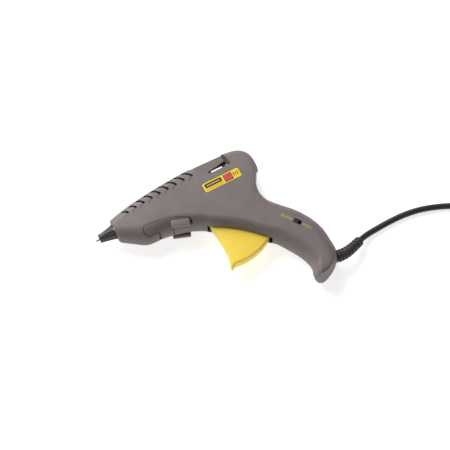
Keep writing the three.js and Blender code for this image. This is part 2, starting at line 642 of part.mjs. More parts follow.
add('neutral_wire', tube([[198, -109, -4], [193, -96, -9], [182, -72, -12], [164, -58, -12.4], [154, -44, -12.4],
  [148, -28, -12.4], [124, -20, -12.4], [101, -13.4, -12], [94, -15, -10], [88.4, -15, -9]], 1, 34, 8), BLUE_WIRE);
add('switch_wire', tube([[197, -109, 3], [197, -103, 6], [194.8, -97, 7.6]], 1, 8, 8), RED_WIRE);
SCREWS.forEach((at, i) => add(`housing_screw_${i + 1}`, screw(at, SCREW.seat, 19.5), STEEL));
add('cord_clamp', cordClamp(), BLACK);
add('strain_relief', strainRelief(), RUBBER);
add('cord_inner', tube(INNER_PATH, CORD_R, 10, 8), RUBBER);
add('cord_lead', tube(LEAD_PATH, CORD_R, 16, 8), RUBBER);
add('cord_coil', cordCoil(), RUBBER);
add('cord_tail', tube(TAIL_PATH, CORD_R, 12, 8), RUBBER);
add('cord_tie', cordTie(), BLACK);
add('plug_body', plugBody(), BLACK);
add('plug_pin_1', plugPin(-1), BRASS);
add('plug_pin_2', plugPin(1), BRASS);

export default gun;
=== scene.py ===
"""Visual model of a corded hot-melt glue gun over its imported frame.

Shapes are made in millimetres in the design frame: x runs along the barrel from the nozzle tip, y goes up
towards the top ridge, z comes out of the left flank. TO_ROW takes them to the row frame, in metres.
"""
import math

import bmesh
import bpy
from mathutils import Matrix, Vector


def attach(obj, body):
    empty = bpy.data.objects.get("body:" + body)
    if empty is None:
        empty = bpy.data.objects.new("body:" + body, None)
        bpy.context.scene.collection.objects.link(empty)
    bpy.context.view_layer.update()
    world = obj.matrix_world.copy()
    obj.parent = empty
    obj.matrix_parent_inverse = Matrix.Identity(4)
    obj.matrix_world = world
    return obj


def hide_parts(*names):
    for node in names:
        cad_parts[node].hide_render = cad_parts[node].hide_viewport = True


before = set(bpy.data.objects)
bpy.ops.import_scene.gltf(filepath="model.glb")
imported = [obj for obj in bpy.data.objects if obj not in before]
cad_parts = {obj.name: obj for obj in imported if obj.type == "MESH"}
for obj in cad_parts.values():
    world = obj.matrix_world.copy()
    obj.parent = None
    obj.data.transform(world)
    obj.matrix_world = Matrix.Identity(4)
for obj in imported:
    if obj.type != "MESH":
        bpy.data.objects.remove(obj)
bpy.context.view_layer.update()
scene = bpy.context.scene

TO_ROW = Matrix.Translation((-0.112, 0, 0.0175)) @ Matrix.Scale(0.001, 4)
TO_DESIGN = TO_ROW.inverted()
FLANK = 17.5  # half the casing's thickness, so the surface it lies on is at z = -FLANK


def row(x, y, z):
    return TO_ROW @ Vector((x, y, z))


# ---------------------------------------------------------------- camera
def make_camera(eye, right, up, back, lens):
    data = bpy.data.cameras.new("view")
    data.sensor_width = 36
    data.lens = lens
    camera = bpy.data.objects.new("view", data)
    camera.matrix_world = Matrix.Translation(eye) @ Matrix((right, up, back)).transposed().to_4x4()
    scene.collection.objects.link(camera)
    scene.camera = camera


make_camera(
    eye=(-0.20178552, -0.51064813, 1.21714906),
    right=(0.882668, -0.46944201, -0.02283408),
    up=(0.44008203, 0.80845482, 0.39080507),
    back=(-0.165, -0.355, 0.9201902),
    lens=100.97,
)


# ---------------------------------------------------------------- materials
def linear(code):
    """A hex colour as linear RGBA."""
    parts = [int(code[i:i + 2], 16) / 255 for i in (0, 2, 4)]
    return (*[c / 12.92 if c <= 0.04045 else ((c + 0.055) / 1.055) ** 2.4 for c in parts], 1)


def material(name, tones, rough, grain=(2000, 0.00003), patch=70, metal=0.0, edge=0.0004, edge_wear_and_painted_light=None,
             coat=0.0):
    """A finish whose colour drifts between two tones, with grain (scale, height) in its bump, smudges in its
    roughness, softened edges, and edges turned towards a third tone if there is one: partly wear, partly
    painted light, with a painted highlight on edges it lightens and painted shade on edges it darkens."""
    made = bpy.data.materials.new(name)
    made.use_nodes = True
    new, link = made.node_tree.nodes.new, made.node_tree.links.new
    shader = made.node_tree.nodes["Principled BSDF"]
    shader.inputs["Metallic"].default_value = metal
    shader.inputs["Coat Weight"].default_value = coat
    place = new("ShaderNodeTexCoord").outputs["Object"]

    def noise(scale, detail):
        node = new("ShaderNodeTexNoise")
        node.inputs["Scale"].default_value = scale
        node.inputs["Detail"].default_value = detail
        link(place, node.inputs["Vector"])
        return node.outputs["Fac"]

    def ranged(value, low, high, start=0.3, end=0.7):
        node = new("ShaderNodeMapRange")
        for key, number in (("From Min", start), ("From Max", end), ("To Min", low), ("To Max", high)):
            node.inputs[key].default_value = number
        link(value, node.inputs["Value"])
        return node.outputs["Result"]

    def blend(factor, first, second):
        node = new("ShaderNodeMix")
        node.data_type = "RGBA"
        link(factor, node.inputs["Factor"])
        for key, tone in (("A", first), ("B", second)):
            socket = next(s for s in node.inputs if s.name == key and s.type == "RGBA")
            if isinstance(tone, str):
                socket.default_value = linear(tone)
            else:
                link(tone, socket)
        return next(s for s in node.outputs if s.type == "RGBA")

    colour = blend(ranged(noise(patch, 5), 0, 1), *tones)
    bevel = new("ShaderNodeBevel")
    bevel.samples = 6
    bevel.inputs["Radius"].default_value = edge
    # Edges turned to the third tone: partly wear, partly painted light, a painted highlight where the tone is
    # lighter and painted shade where it is darker.
    if edge_wear_and_painted_light:
        turn = new("ShaderNodeVectorMath")
        turn.operation = "DOT_PRODUCT"
        link(bevel.outputs["Normal"], turn.inputs[0])
        link(new("ShaderNodeNewGeometry").outputs["Normal"], turn.inputs[1])
        at_edge = ranged(turn.outputs["Value"], 0.75, 0, 0.8, 0.995)
        patchy = new("ShaderNodeMath")
        patchy.operation = "MULTIPLY"
        link(at_edge, patchy.inputs[0])
        link(ranged(noise(400, 3), 0.25, 1), patchy.inputs[1])
        colour = blend(patchy.outputs["Value"], colour, edge_wear_and_painted_light)
    link(colour, shader.inputs["Base Color"])
    link(ranged(noise(45, 4), *rough), shader.inputs["Roughness"])
    bump = new("ShaderNodeBump")
    bump.inputs["Distance"].default_value = grain[1]
    link(noise(grain[0], 2), bump.inputs["Height"])
    link(bevel.outputs["Normal"], bump.inputs["Normal"])
    link(bump.outputs["Normal"], shader.inputs["Normal"])
    return made


# The last tone of each material goes onto its edges. It is partly wear and partly painted light: painted
# highlights on the grey, black and rubber edges, and painted shade on the yellow's orange edges.
CASING = material("casing_grey", ("736969", "7b7070"), (0.5, 0.62), grain=(2600, 0.00005), edge_wear_and_painted_light="9c9191")
YELLOW = material("trigger_yellow", ("ffdb48", "ffe14f"), (0.3, 0.42), grain=(1500, 0.00001), edge=0.0011,
                  edge_wear_and_painted_light="ffb838")
BLACK = material("black_plastic", ("1d1b1e", "262427"), (0.4, 0.52), edge_wear_and_painted_light="48444a")
RUBBER = material("black_rubber", ("37323a", "433d46"), (0.4, 0.58), grain=(1400, 0.00004), edge=0.0006,
                  edge_wear_and_painted_light="8d8590")
CORD = material("cord_sheath", ("2a252c", "332e36"), (0.36, 0.5), grain=(900, 0.00003), patch=30)
TIP = material("nickel_tip", ("cfcbc2", "ded9d0"), (0.18, 0.3), metal=1, edge=0.0002, grain=(1200, 0.00001))
STEEL = material("steel", ("a8abb0", "c2c5c9"), (0.25, 0.42), metal=1, grain=(1800, 0.00002), edge=0.0002)
ALLOY = material("cast_alloy", ("8f9194", "aaacae"), (0.45, 0.65), metal=1, grain=(1100, 0.00008))
CERAMIC = material("ceramic", ("dcd5c5", "e8e2d4"), (0.6, 0.75), grain=(1500, 0.00004))
SILICONE = material("silicone", ("a23c26", "b5482f"), (0.45, 0.6), grain=(700, 0.00002))
RED_WIRE = material("red_wire", ("92251e", "a63028"), (0.35, 0.5))
BLUE_WIRE = material("blue_wire", ("24407c", "2f5091"), (0.35, 0.5))
FILM = material("label_film", ("f2cf14", "f8d820"), (0.28, 0.4), grain=(600, 0.00001), edge=0.0001, coat=0.3)
PRINT = {"rough": (0.3, 0.42), "grain": (600, 0.00001), "edge": 0.0001}
INK = material("label_black", ("171416", "211d1f"), coat=0.3, **PRINT)
RED_INK = material("label_red", ("d8352a", "e2483a"), coat=0.3, **PRINT)
FAINT_INK = material("label_brown", ("a9761a", "bd8822"), **PRINT)
GOLD = material("mark_gold", ("bd9c4a", "cdae5c"), (0.4, 0.55), grain=(900, 0.00001), edge=0.0001)


# ---------------------------------------------------------------- shapes
def spline(points, t):
    """Centripetal Catmull-Rom through 3-D points; t runs from 0 to 1, evenly by point."""
    last = len(points) - 1
    i = min(int(t * last), last - 1)
    w = t * last - i
    b, c = Vector(points[i]), Vector(points[i + 1])
    a = Vector(points[i - 1]) if i else 2 * b - c
    d = Vector(points[i + 2]) if i + 2 <= last else 2 * c - b
    ab, bc, cd = (math.sqrt((q - p).length) for p, q in ((a, b), (b, c), (c, d)))
    bc = bc if bc > 1e-4 else 1
    ab = ab if ab > 1e-4 else bc
    cd = cd if cd > 1e-4 else bc
    start = ((b - a) / ab - (c - a) / (ab + bc) + (c - b) / bc) * bc
    end = ((c - b) / bc - (d - b) / (bc + cd) + (d - c) / cd) * bc
    return b + start * w + (3 * (c - b) - 2 * start - end) * w ** 2 + (2 * (b - c) + start + end) * w ** 3


def shape(points, faces):
    mesh = bpy.data.meshes.new("shape")
    mesh.from_pydata([tuple(p) for p in points], [], faces)
    mesh.update()
    return outward(mesh)


def outward(mesh):
    bm = bmesh.new()
    bm.from_mesh(mesh)
    bmesh.ops.recalc_face_normals(bm, faces=bm.faces)
    if bm.calc_volume(signed=True) < 0:
        bmesh.ops.reverse_faces(bm, faces=bm.faces)
    bm.to_mesh(mesh)
    bm.free()
    return mesh


def loft(rings, closed=False):
    """A skin over rings of points, with a face at each end, or with the last ring joined to the first."""
    count = len(rings[0])
    faces = []
    for i in range(len(rings) if closed else len(rings) - 1):
        n = (i + 1) % len(rings)
        faces += [(i * count + j, i * count + (j + 1) % count, n * count + (j + 1) % count, n * count + j)
                  for j in range(count)]
    if not closed:
        faces += [tuple(range(count)), tuple((len(rings) - 1) * count + j for j in range(count))]
    return shape([p for ring in rings for p in ring], faces)


def rounded(outline, radius, steps=5):
    """The outline with its corners rounded, each by at most half the shorter side next to it."""
    made = []
    for i, (x, y) in enumerate(outline):
        corner = Vector((x, y))
        before, after = Vector(outline[i - 1]) - corner, Vector(outline[(i + 1) % len(outline)]) - corner
        first = corner + before * min(radius / before.length, 0.45)
        last = corner + after * min(radius / after.length, 0.45)
        for k in range(steps + 1):
            t = k / steps
            made.append(tuple(first * (1 - t) ** 2 + corner * 2 * t * (1 - t) + last * t ** 2))
    return made


def prism(outline, z0, z1):
    return loft([[(x, y, z) for x, y in outline] for z in (z0, z1)])


def rectangle(x, y):
    return [(x[0], y[0]), (x[1], y[0]), (x[1], y[1]), (x[0], y[1])]


def box(x, y, z):
    return prism(rectangle(x, y), *z)


def circle(centre, radius, sides=48):
    return [(centre[0] + radius * math.cos(2 * math.pi * i / sides),
             centre[1] + radius * math.sin(2 * math.pi * i / sides)) for i in range(sides)]


def rod(centre, radius, z0, z1, sides=48):
    return prism(circle(centre, radius, sides), z0, z1)


def turned(profile, sides=72, flute=lambda x, a: 1):
    """A solid turned about the barrel axis from (x, radius) points that close on themselves. The flute gives
    a factor on the radius at each x and angle."""
    return loft([[(x, r * flute(x, a) * math.cos(a), r * flute(x, a) * math.sin(a)) for x, r in profile]
                 for a in (2 * math.pi * i / sides for i in range(sides))], closed=True)


def arc(centre, radius, start, end, steps):
    """Points along an arc, from one angle to the other in degrees."""
    return [(centre[0] + radius * math.cos(math.radians(start + (end - start) * i / steps)),
             centre[1] + radius * math.sin(math.radians(start + (end - start) * i / steps)))
            for i in range(steps + 1)]


def smooth_line(points, steps):
    """A flat spline through (x, y) points."""
    return [tuple(spline([(*p, 0) for p in points], i / steps))[:2] for i in range(steps + 1)]


def slanted(centre, length, width, degrees):
    """A rectangle turned about its centre."""
    turn = Matrix.Rotation(math.radians(degrees), 2)
    return [tuple(Vector(centre) + turn @ Vector((i * length / 2, j * width / 2)))
            for i, j in ((-1, -1), (1, -1), (1, 1), (-1, 1))]


def strip(line, width):
    """The outline of a strip with round ends along a line of (x, y) points."""
    sides = ([], [])
    for i, p in enumerate(line):
        before, after = Vector(line[max(i - 1, 0)]), Vector(line[min(i + 1, len(line) - 1)])
        along = (after - before).normalized()
        across = Vector((-along.y, along.x)) * width / 2
        sides[0].append(Vector(p) + across)
        sides[1].append(Vector(p) - across)
    ends = []
    for centre, start in ((line[-1], sides[0][-1]), (line[0], sides[1][0])):
        arm = start - Vector(centre)
        ends.append([Vector(centre) + Matrix.Rotation(-math.pi * k / 6, 2) @ arm for k in range(1, 6)])
    return [tuple(p) for p in sides[0] + ends[0] + sides[1][::-1] + ends[1]]


def tube_rings(points, radii, sides=40):
    """Rings about a line of points, square to it, without twist."""
    points = [Vector(p) for p in points]
    side = None
    rings = []
    for i, p in enumerate(points):
        along = (points[min(i + 1, len(points) - 1)] - points[max(i - 1, 0)]).normalized()
        side = along.orthogonal() if side is None else side - along * side.dot(along)
        side.normalize()
        other = along.cross(side)
        rings.append([p + radii[i] * (side * math.cos(a) + other * math.sin(a))
                      for a in (2 * math.pi * j / sides for j in range(sides))])
    return rings


def carve(base, operation, *tools):
    """The base mesh cut by, joined to or kept within each tool mesh in turn."""
    holder = bpy.data.objects.new("carving", base)
    scene.collection.objects.link(holder)
    helpers = []
    for tool in tools:
        helper = bpy.data.objects.new("tool", tool)
        scene.collection.objects.link(helper)
        helpers.append(helper)
        cut = holder.modifiers.new("carve", "BOOLEAN")
        cut.operation, cut.solver, cut.object = operation, "MANIFOLD", helper
    made = bpy.data.meshes.new_from_object(holder.evaluated_get(bpy.context.evaluated_depsgraph_get()))
    for o in (holder, *helpers):
        bpy.data.objects.remove(o)
    return made


def joined(*parts):
    return carve(parts[0], "UNION", *parts[1:])


def softened(mesh, width, segments=3, angle=40):
    """Rounds the edges that turn by more than the angle."""
    bm = bmesh.new()
    bm.from_mesh(mesh)
    sharp = [e for e in bm.edges if e.is_manifold and e.calc_face_angle() > math.radians(angle)]
    bmesh.ops.bevel(bm, geom=sharp, offset=width, segments=segments, profile=0.5, affect="EDGES",
                    clamp_overlap=True)
    bm.to_mesh(mesh)
    bm.free()
    return mesh


def piece(name, mesh, finish, body="housing", stands_for=(), sharp=32):
    """Takes a mesh to the row frame as a finished piece that rides on a body. Edges that turn by more than
    the sharp angle, in degrees, are shaded as edges."""
    bm = bmesh.new()
    bm.from_mesh(mesh)
    bmesh.ops.remove_doubles(bm, verts=bm.verts, dist=0.002)
    bm.transform(TO_ROW)
    for edge in bm.edges:
        edge.smooth = edge.is_manifold and edge.calc_face_angle() < math.radians(sharp)
    for face in bm.faces:
        face.smooth = True
    bm.to_mesh(mesh)
    bm.free()
    mesh.materials.clear()
    mesh.materials.append(finish)
    made = bpy.data.objects.new(name, mesh)
    scene.collection.objects.link(made)
    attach(made, body)
    if stands_for:
        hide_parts(*stands_for)
    return made


# ---------------------------------------------------------------- cord
CORD_R = 3.25
LIE = CORD_R + 0.15 - FLANK  # the middle of a cord that lies on the surface
LEAD = [
    (239.8, -126.9, -8.5), (242.3, -125.8, -9.6), (248, -124, -11.6), (255, -122.6, -13.2),
    (264, -121.8, -13.9), (278, -121.2, LIE), (296, -121.6, LIE), (314, -124.4, LIE), (330, -129.4, LIE),
    (345, -136, LIE), (357, -142.9, LIE), (366.2, -148.2, LIE), (377, -154.5, LIE + 0.5),
]
COIL_AT = (409, -124)
COIL_ROWS = (35.6, 42.4)  # the radii of the inner and outer rows
COIL_STEP = 6.9  # from one layer up to the next
COIL_LOW = 1 + CORD_R - FLANK  # the middle of the cord in the lowest layer
# Where each turn lies, as (row, layer), and how far round the coil the cord takes to reach the next one.
# Each crossing starts before the one under it, so no two strands meet.
COIL_SLOTS = ((1, 0, 75), (0, 0, 58), (0, 1, 58), (0, 2, 75), (1, 2, 46), (1, 1, 0))
COIL_ENTRY, COIL_LEAVES = -120, -100  # degrees round the coil
PLUG_X, PLUG_Z = 458.7, 6.5 - FLANK  # the plug's middle line


def ease(t):
    """From 0 to 1 with a gentle start and end, and level outside that."""
    return 0.5 - 0.5 * math.cos(math.pi * min(max(t, 0), 1))


def on_coil(degrees, radius, height):
    a = math.radians(degrees)
    return (COIL_AT[0] + radius * math.cos(a), COIL_AT[1] + radius * math.sin(a), height)


def coil_points(step=12):
    """The cord from where it meets the coil to where it lies beside it, round its outside."""
    made = []
    crossings = []
    ends = COIL_ENTRY
    for _, _, width in COIL_SLOTS[:-1]:
        ends += 360
        crossings.append((ends - width, ends))
        ends -= width
    leave = COIL_LEAVES + 360 * len(crossings)
    a = COIL_ENTRY
    while a < leave:
        radius, height = COIL_ROWS[COIL_SLOTS[0][0]], COIL_LOW
        for k, (start, end) in enumerate(crossings):
            if a > start:
                t = ease((a - start) / (end - start))
                (r0, l0, _), (r1, l1, _) = COIL_SLOTS[k], COIL_SLOTS[k + 1]
                radius = COIL_ROWS[r0] * (1 - t) + COIL_ROWS[r1] * t
                height = COIL_LOW + COIL_STEP * (l0 * (1 - t) + l1 * t)
        made.append(on_coil(a, radius, height))
        a += step
    for a in range(COIL_LEAVES, 1, 10):
        radius = COIL_ROWS[1] + 7.3 * ease((a - COIL_LEAVES) / 60)
        height = 11.15 - 7.65 * ease((a + 80) / 75) - FLANK
        made.append(on_coil(a, radius, height))
    return made


CORD_LINE = LEAD + coil_points() + [
    (PLUG_X, -118, 3.5 - FLANK), (PLUG_X, -108, 3.55 - FLANK), (PLUG_X, -98, 3.9 - FLANK),
    (PLUG_X, -88, 4.8 - FLANK), (PLUG_X, -78, 5.9 - FLANK), (PLUG_X, -69, PLUG_Z),
]


def make_cord():
    data = bpy.data.curves.new("mains_cord", "CURVE")
    data.dimensions = "3D"
    data.bevel_depth = CORD_R / 1000
    data.bevel_resolution = 6
    data.use_fill_caps = True
    fine = 4
    steps = (len(CORD_LINE) - 1) * fine
    line = data.splines.new("POLY")
    line.points.add(steps)
    for i, point in enumerate(line.points):
        point.co = (*row(*spline(CORD_LINE, i / steps)), 1)
    line.use_smooth = True
    made = bpy.data.objects.new("mains_cord", data)
    made.data.materials.append(CORD)
    scene.collection.objects.link(made)
    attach(made, "housing")
    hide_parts("cord_lead", "cord_coil", "cord_tail")
    return made


def plug_section(y, half_width, half_height, power=3.2, sides=48):
    """A ring between an ellipse and a rectangle: the higher the power, the squarer."""
    ring = []
    for i in range(sides):
        a = 2 * math.pi * i / sides
        c, s = math.cos(a), math.sin(a)
        x = PLUG_X + half_width * math.copysign(abs(c) ** (2 / power), c)
        ring.append((x, y, PLUG_Z + half_height * math.copysign(abs(s) ** (2 / power), s)))
    return ring


def plug_body():
    """A flat two-pin plug: a ribbed neck that widens into the body, with a finger hollow on each side."""
    back, length, steps, ribs = -70, 34, 120, 17
    sections = []
    for i in range(steps + 1):
        t = i / steps
        wide = 5 + 8 * ease((t - 0.18) / 0.42)
        high = 4.6 + 1.85 * ease((t - 0.05) / 0.35)
        rib = 0.45 * ease(math.sin(2 * math.pi * t * ribs) * 0.5 + 0.5) if 0.03 < t < 0.28 else 0
        waist = 1.1 * math.exp(-(((t - 0.72) / 0.11) ** 2))
        end = 0.9 * (1 - math.sqrt(max(0, 1 - (max(t - 0.965, 0) / 0.035) ** 2)))
        sections.append(plug_section(back + length * t, wide - rib - waist - end, high - rib * 0.6 - end))
    return loft(sections)


def pin(x):
    """A round pin with a sleeved root and a domed end, as two meshes: the bare metal and the sleeve."""
    centre = Vector((x, 0, PLUG_Z))

    def along(profile):
        return loft([[centre + Vector((r * math.cos(a), y, r * math.sin(a)))
                      for a in (2 * math.pi * j / 32 for j in range(32))] for y, r in profile])

    metal = along([(-27, 1.95), (-18.2, 1.95), (-17.4, 1.7), (-16.9, 1.2), (-16.7, 0.4)])
    sleeve = along([(-36.2, 2), (-35.7, 2), (-27.6, 1.98), (-27.2, 1.85), (-27, 1.5)])
    return metal, sleeve


def cord_tie():
    """A flat strap round the bundle, with its buckle on top."""
    low, high = -FLANK + 0.15, -FLANK + 1 + 2 * COIL_STEP + 2 * CORD_R + 0.9
    inner, outer = COIL_ROWS[0] - 3.45, COIL_ROWS[1] + 3.45
    y0, y1 = COIL_AT[1] + inner - 1, COIL_AT[1] + outer + 1.2

    def loop(x, grow):
        outline = rounded([(y0 - grow, low - grow), (y1 + grow, low - grow), (y1 + grow, high + grow),
                           (y0 - grow, high + grow)], 4.5 + grow, 8)
        return [(x, y, z) for y, z in outline]

    half_width, thick = 3, 0.75
    x0, x1 = COIL_AT[0] - half_width, COIL_AT[0] + half_width
    band = loft([loop(x0, -thick), loop(x0, 0), loop(x1, 0), loop(x1, -thick)], closed=True)
    buckle = softened(box((x0 - 1, x1 + 1), (y0 + 5, y0 + 10.5), (high - 0.9, high + 0.15)), 0.35)
    return joined(softened(band, 0.2, 2, 60), buckle)


cord = make_cord()
plug = piece("mains_plug", plug_body(), BLACK, stands_for=["plug_body"], sharp=50)
for number, x in enumerate((PLUG_X - 9.3, PLUG_X + 9.3), 1):
    metal, sleeve = pin(x)
    piece(f"plug_pin_metal_{number}", metal, TIP, stands_for=[f"plug_pin_{number}"])
    piece(f"plug_pin_sleeve_{number}", sleeve, BLACK)
tie = piece("cord_strap", cord_tie(), BLACK, stands_for=["cord_tie"], sharp=50)


# ---------------------------------------------------------------- casing
# Stations from the nose to the heel: top point, bottom point, half thickness, and how far the rounding
# reaches in from each edge.
STATIONS = (
    (21.6, 12.4, 21.6, -12.4, 12.4, 12.4, 12.4), (36, 15.8, 34.2, -21.4, 14.4, 12, 15),
    (51, 18.2, 45.5, -28.4, 16.6, 11.5, 16), (71, 20.6, 66, -30, 17.4, 11, 15),
    (95, 22.7, 88, -34.8, 17.5, 10.5, 14), (118, 23.6, 104.4, -42.2, 17.5, 10, 12),
    (143, 23.2, 111, -47.2, 17.5, 10, 11), (162, 22.2, 117.5, -51, 17.5, 10, 11),
    (176.5, 18.6, 124, -55.1, 17.5, 10, 11), (184, 11, 129.5, -59.1, 17.5, 10, 11),
    (185.8, 1, 134, -62.7, 17.5, 10, 11), (183.2, -10, 138.5, -66.5, 17.5, 10, 11),
    (176.6, -20.5, 143, -70.8, 17.5, 11, 11), (173.2, -33, 147.5, -75.4, 17.5, 12, 11),
    (176, -45, 152, -80.3, 17.5, 12, 11), (185.8, -57.2, 156.4, -84.7, 17.5, 12, 11),
    (196.6, -69.8, 161.8, -89.6, 17.5, 12, 12), (205.8, -84.5, 168.4, -100, 17.5, 13, 13),
    (211, -100, 174.9, -111.5, 17.5, 13, 13), (212, -115, 179.4, -122.5, 17.5, 13, 13),
    (211.6, -127, 180.6, -132, 17.5, 13, 12), (207.6, -136.6, 178.2, -140.2, 17.4, 10, 9),
    (201.6, -142.2, 178.8, -144.8, 17, 7, 6), (194, -145.6, 182.6, -147.2, 16, 4, 4),
)
TOP = [(s[0], s[1], 0) for s in STATIONS]
BOTTOM = [(s[2], s[3], 0) for s in STATIONS]
BULK = [s[4:] for s in STATIONS]
PIVOT = (124, -34)
STAND_HINGE = (51.6, -21)
STAND_Z, STAND_END = 10.6, 5  # the arms' inner faces, and the radius of their front ends
BRIDGE_START = 61.4  # where the stand's bridge under the belly begins
RIDGE = 5  # half the ridge's width between the window pockets
FLOOR_TOP, FLOOR_SLOPE = 9.2, 0.39  # the pockets' floors run down to the flanks
SWITCH_AT, SWITCH_ANGLE = (189, -86.3), -54.3
LIP_REACH = 0.004  # share of the casing's length that a lip takes at each end
HOLE_RADIUS, HOLE_END = 1.8, 12.5  # the stand's pin holes, and how far out they go
SCREWS = ((42, -18.5), (101, -22), (169, 15.5), (164, -42), (190, -108), (191, -140))


def inset(line, u, side, skin):
    """The point at u of the casing's top or bottom line, moved in by a skin."""
    along = spline(line, min(1, u + 0.004)) - spline(line, max(0, u - 0.004))
    across = Vector((-along.y, along.x, 0)).normalized()
    return spline(line, u) + across * side * skin


def hull_ring(skin, u, edge):
    """The casing's section at u: flat flanks between elliptical edges, each of so many steps."""
    top, bottom = inset(TOP, u, -1, skin), inset(BOTTOM, u, 1, skin)
    half, above, below = spline(BULK, u)
    span = (top - bottom).length
    fit = min(1, span / (above + below - 2 * skin))
    side = []
    for j in range(edge + 1):
        a = math.pi / 2 * j / edge
        side.append(((above - skin) * fit * (1 - math.cos(a)) / span, (half - skin) * math.sin(a)))
    for j in range(edge, -1, -1):
        a = math.pi / 2 * j / edge
        side.append((1 - (below - skin) * fit * (1 - math.cos(a)) / span, (half - skin) * math.sin(a)))
    back = [(t, -z) for t, z in side[-2:0:-1]]
    return [top.lerp(bottom, t) + Vector((0, 0, z)) for t, z in side + back]


def hull(skin, first=0.0, last=1.0, steps=260, edge=20, lip=0.0):
    """The casing's outside, or the space a skin inside it. A lip rounds the edges of both ends."""
    stations = [(first + (last - first) * i / steps, 0) for i in range(1, steps)]
    nose, heel = [(first, 0)], [(last, 0)]
    if lip:
        turns = [math.pi / 2 * k / 5 for k in range(6)]
        nose = [(first + LIP_REACH * (1 - math.cos(a)), lip * (1 - math.sin(a))) for a in turns]
        heel = [(last - LIP_REACH * (1 - math.cos(a)), lip * (1 - math.sin(a))) for a in reversed(turns)]
        stations = [s for s in stations if nose[-1][0] < s[0] < heel[0][0]]
    rings = []
    for u, shrink in nose + stations + heel:
        ring = hull_ring(skin, u, edge)
        centre = sum(ring, Vector()) / len(ring)
        rings.append([p + (centre - p).normalized() * shrink for p in ring])
    return loft(rings)


def both(outline, z0, z1):
    """Two prisms, one on each side of the mid-plane."""
    return [prism(outline, z0, z1), prism(outline, -z1, -z0)]


POCKET = [(114, 31), (119.5, 19), (130, 9.3), (136.8, 3.6), (137, -4), (160.8, -4), (160.2, 9), (157.6, 20),
          (156, 31)]
NEAR_WINDOW = [(137, 9.2), (159.8, 9.2), (158.6, 14), (158.2, 15.4), (137, 11.9)]
FAR_WINDOW = [(141.4, 9.2), (154.7, 9.2), (154.7, 15.2), (141.4, 15.2)]
VENTS = 9


def vent(i):
    """One vent as two lines that meet in a point to the rear: the open slot, and a shallow groove."""
    start = Vector((37 + 9.1 * i, 10 + 1.55 * i - 0.07 * i * i))
    tip = Vector((41.8 + 9.55 * i, 6.5 + 0.57 * i))
    foot = Vector((37.6 + 9.45 * i, 3.1 + 0.5 * i))
    bow = Vector((-(tip - start).y, (tip - start).x)) * 0.09
    slot = [tuple(start.lerp(tip, t) + bow * 4 * t * (1 - t)) for t in (0, 0.2, 0.4, 0.6, 0.8, 1)]
    return slot, [tuple(tip), tuple(tip.lerp(foot, 0.5) + Vector((0.3, 0))), tuple(foot)]


def pockets():
    """The hollows on both sides of the ridge, over their sloping floors."""
    low = FLOOR_TOP - FLOOR_SLOPE * (30 - RIDGE)
    section = [(-30, low), (-RIDGE, FLOOR_TOP), (RIDGE, FLOOR_TOP), (30, low), (30, -20), (-30, -20)]
    floors = loft([[(x, y, z) for z, y in section] for x in (110, 170)])
    return [carve(side, "DIFFERENCE", floors.copy()) for side in both(rounded(POCKET, 1.2), RIDGE, 30)]


def stand_arc(radius, start, steps=24):
    """The round front end of the stand's arm, or of its recess, clockwise from the start angle."""
    return arc(STAND_HINGE, radius, start, -280, steps)


def stand_recess():
    """The room for the stand's two arms, and for the bridge between them under the belly."""
    hx, hy = STAND_HINGE
    sides = [(hx - 3.9, hy - 20), *stand_arc(STAND_END + 0.5, -135, 32), (66.4, -17.1), (74.2, -18.9),
             (85.1, -23.3), (95.6, -29.2), (95.6, hy - 20)]
    under = carve(box((BRIDGE_START - 2.2, 75.4), (-60, -20), (-30, 30)), "DIFFERENCE",
                  hull(2.7, 0.02, 0.26, 60), box((50, 90), (-22, 60), (-STAND_Z, STAND_Z)))
    return [*both(sides, STAND_Z - 0.5, 30), under]


# The middle line of the strain relief, from inside the heel to where the cord leaves it.
RELIEF = [(205.5, -132.6, 0), (212, -133.6, -0.2), (220, -133.4, -1.6), (229, -131, -4.2),
          (240.5, -126.6, -8.8)]


def casing_cutters():
    """Everything that is cut from both halves: pockets, windows, vents, slots, seats and screw holes."""
    trigger_slot = [(107.2, -28), (107.2, -62), (156, -102), (160.2, -86), (163, -80.5), (141, -50),
                    (128, -28)]
    skin = hull(0.35, 0.01, 0.4, 120)
    through = RIDGE + 0.3  # a little past the ridge's face
    tools = [*pockets(), *stand_recess(), prism(trigger_slot, -7.2, 7.2),
             prism(rounded(NEAR_WINDOW, 0.5), 0, through), prism(rounded(FAR_WINDOW, 0.5), -through, 0)]
    for i in range(VENTS):
        opening, groove = vent(i)
        tools += both(strip(opening, 2.1), 9, 30)
        tools += [carve(g, "DIFFERENCE", skin.copy()) for g in both(strip(groove, 1.5), 9, 30)]
    relief_seat, steps = [(200, -131.6, 0), (208, -133, 0), (214, -133.9, -0.4), (220, -133.6, -1.6)], 12
    tools += [
        turned([(10, 0.01), (10, 7.2), (32, 7.2), (32, 0.01)]),
        turned([(176, 0.01), (176, 8.6), (181.7, 8.6), (181.7, 10.8), (200, 10.8), (200, 0.01)]),
        prism(rounded(slanted(SWITCH_AT, 8.6, 4.8, SWITCH_ANGLE), 0.5), 10, 30),
        prism(rounded([(121.7, -13.8), (164.3, -13.8), (164.3, -2.7), (121.7, -2.7)], 1.4), FLANK - 0.8, 30),
        loft(tube_rings([spline(relief_seat, i / steps) for i in range(steps + 1)],
                        [7.1 - 0.03 * i for i in range(steps + 1)])),
        rod(STAND_HINGE, HOLE_RADIUS, -HOLE_END, HOLE_END),
    ]
    return tools + [rod(at, 3.4, -30, -10) for at in SCREWS]


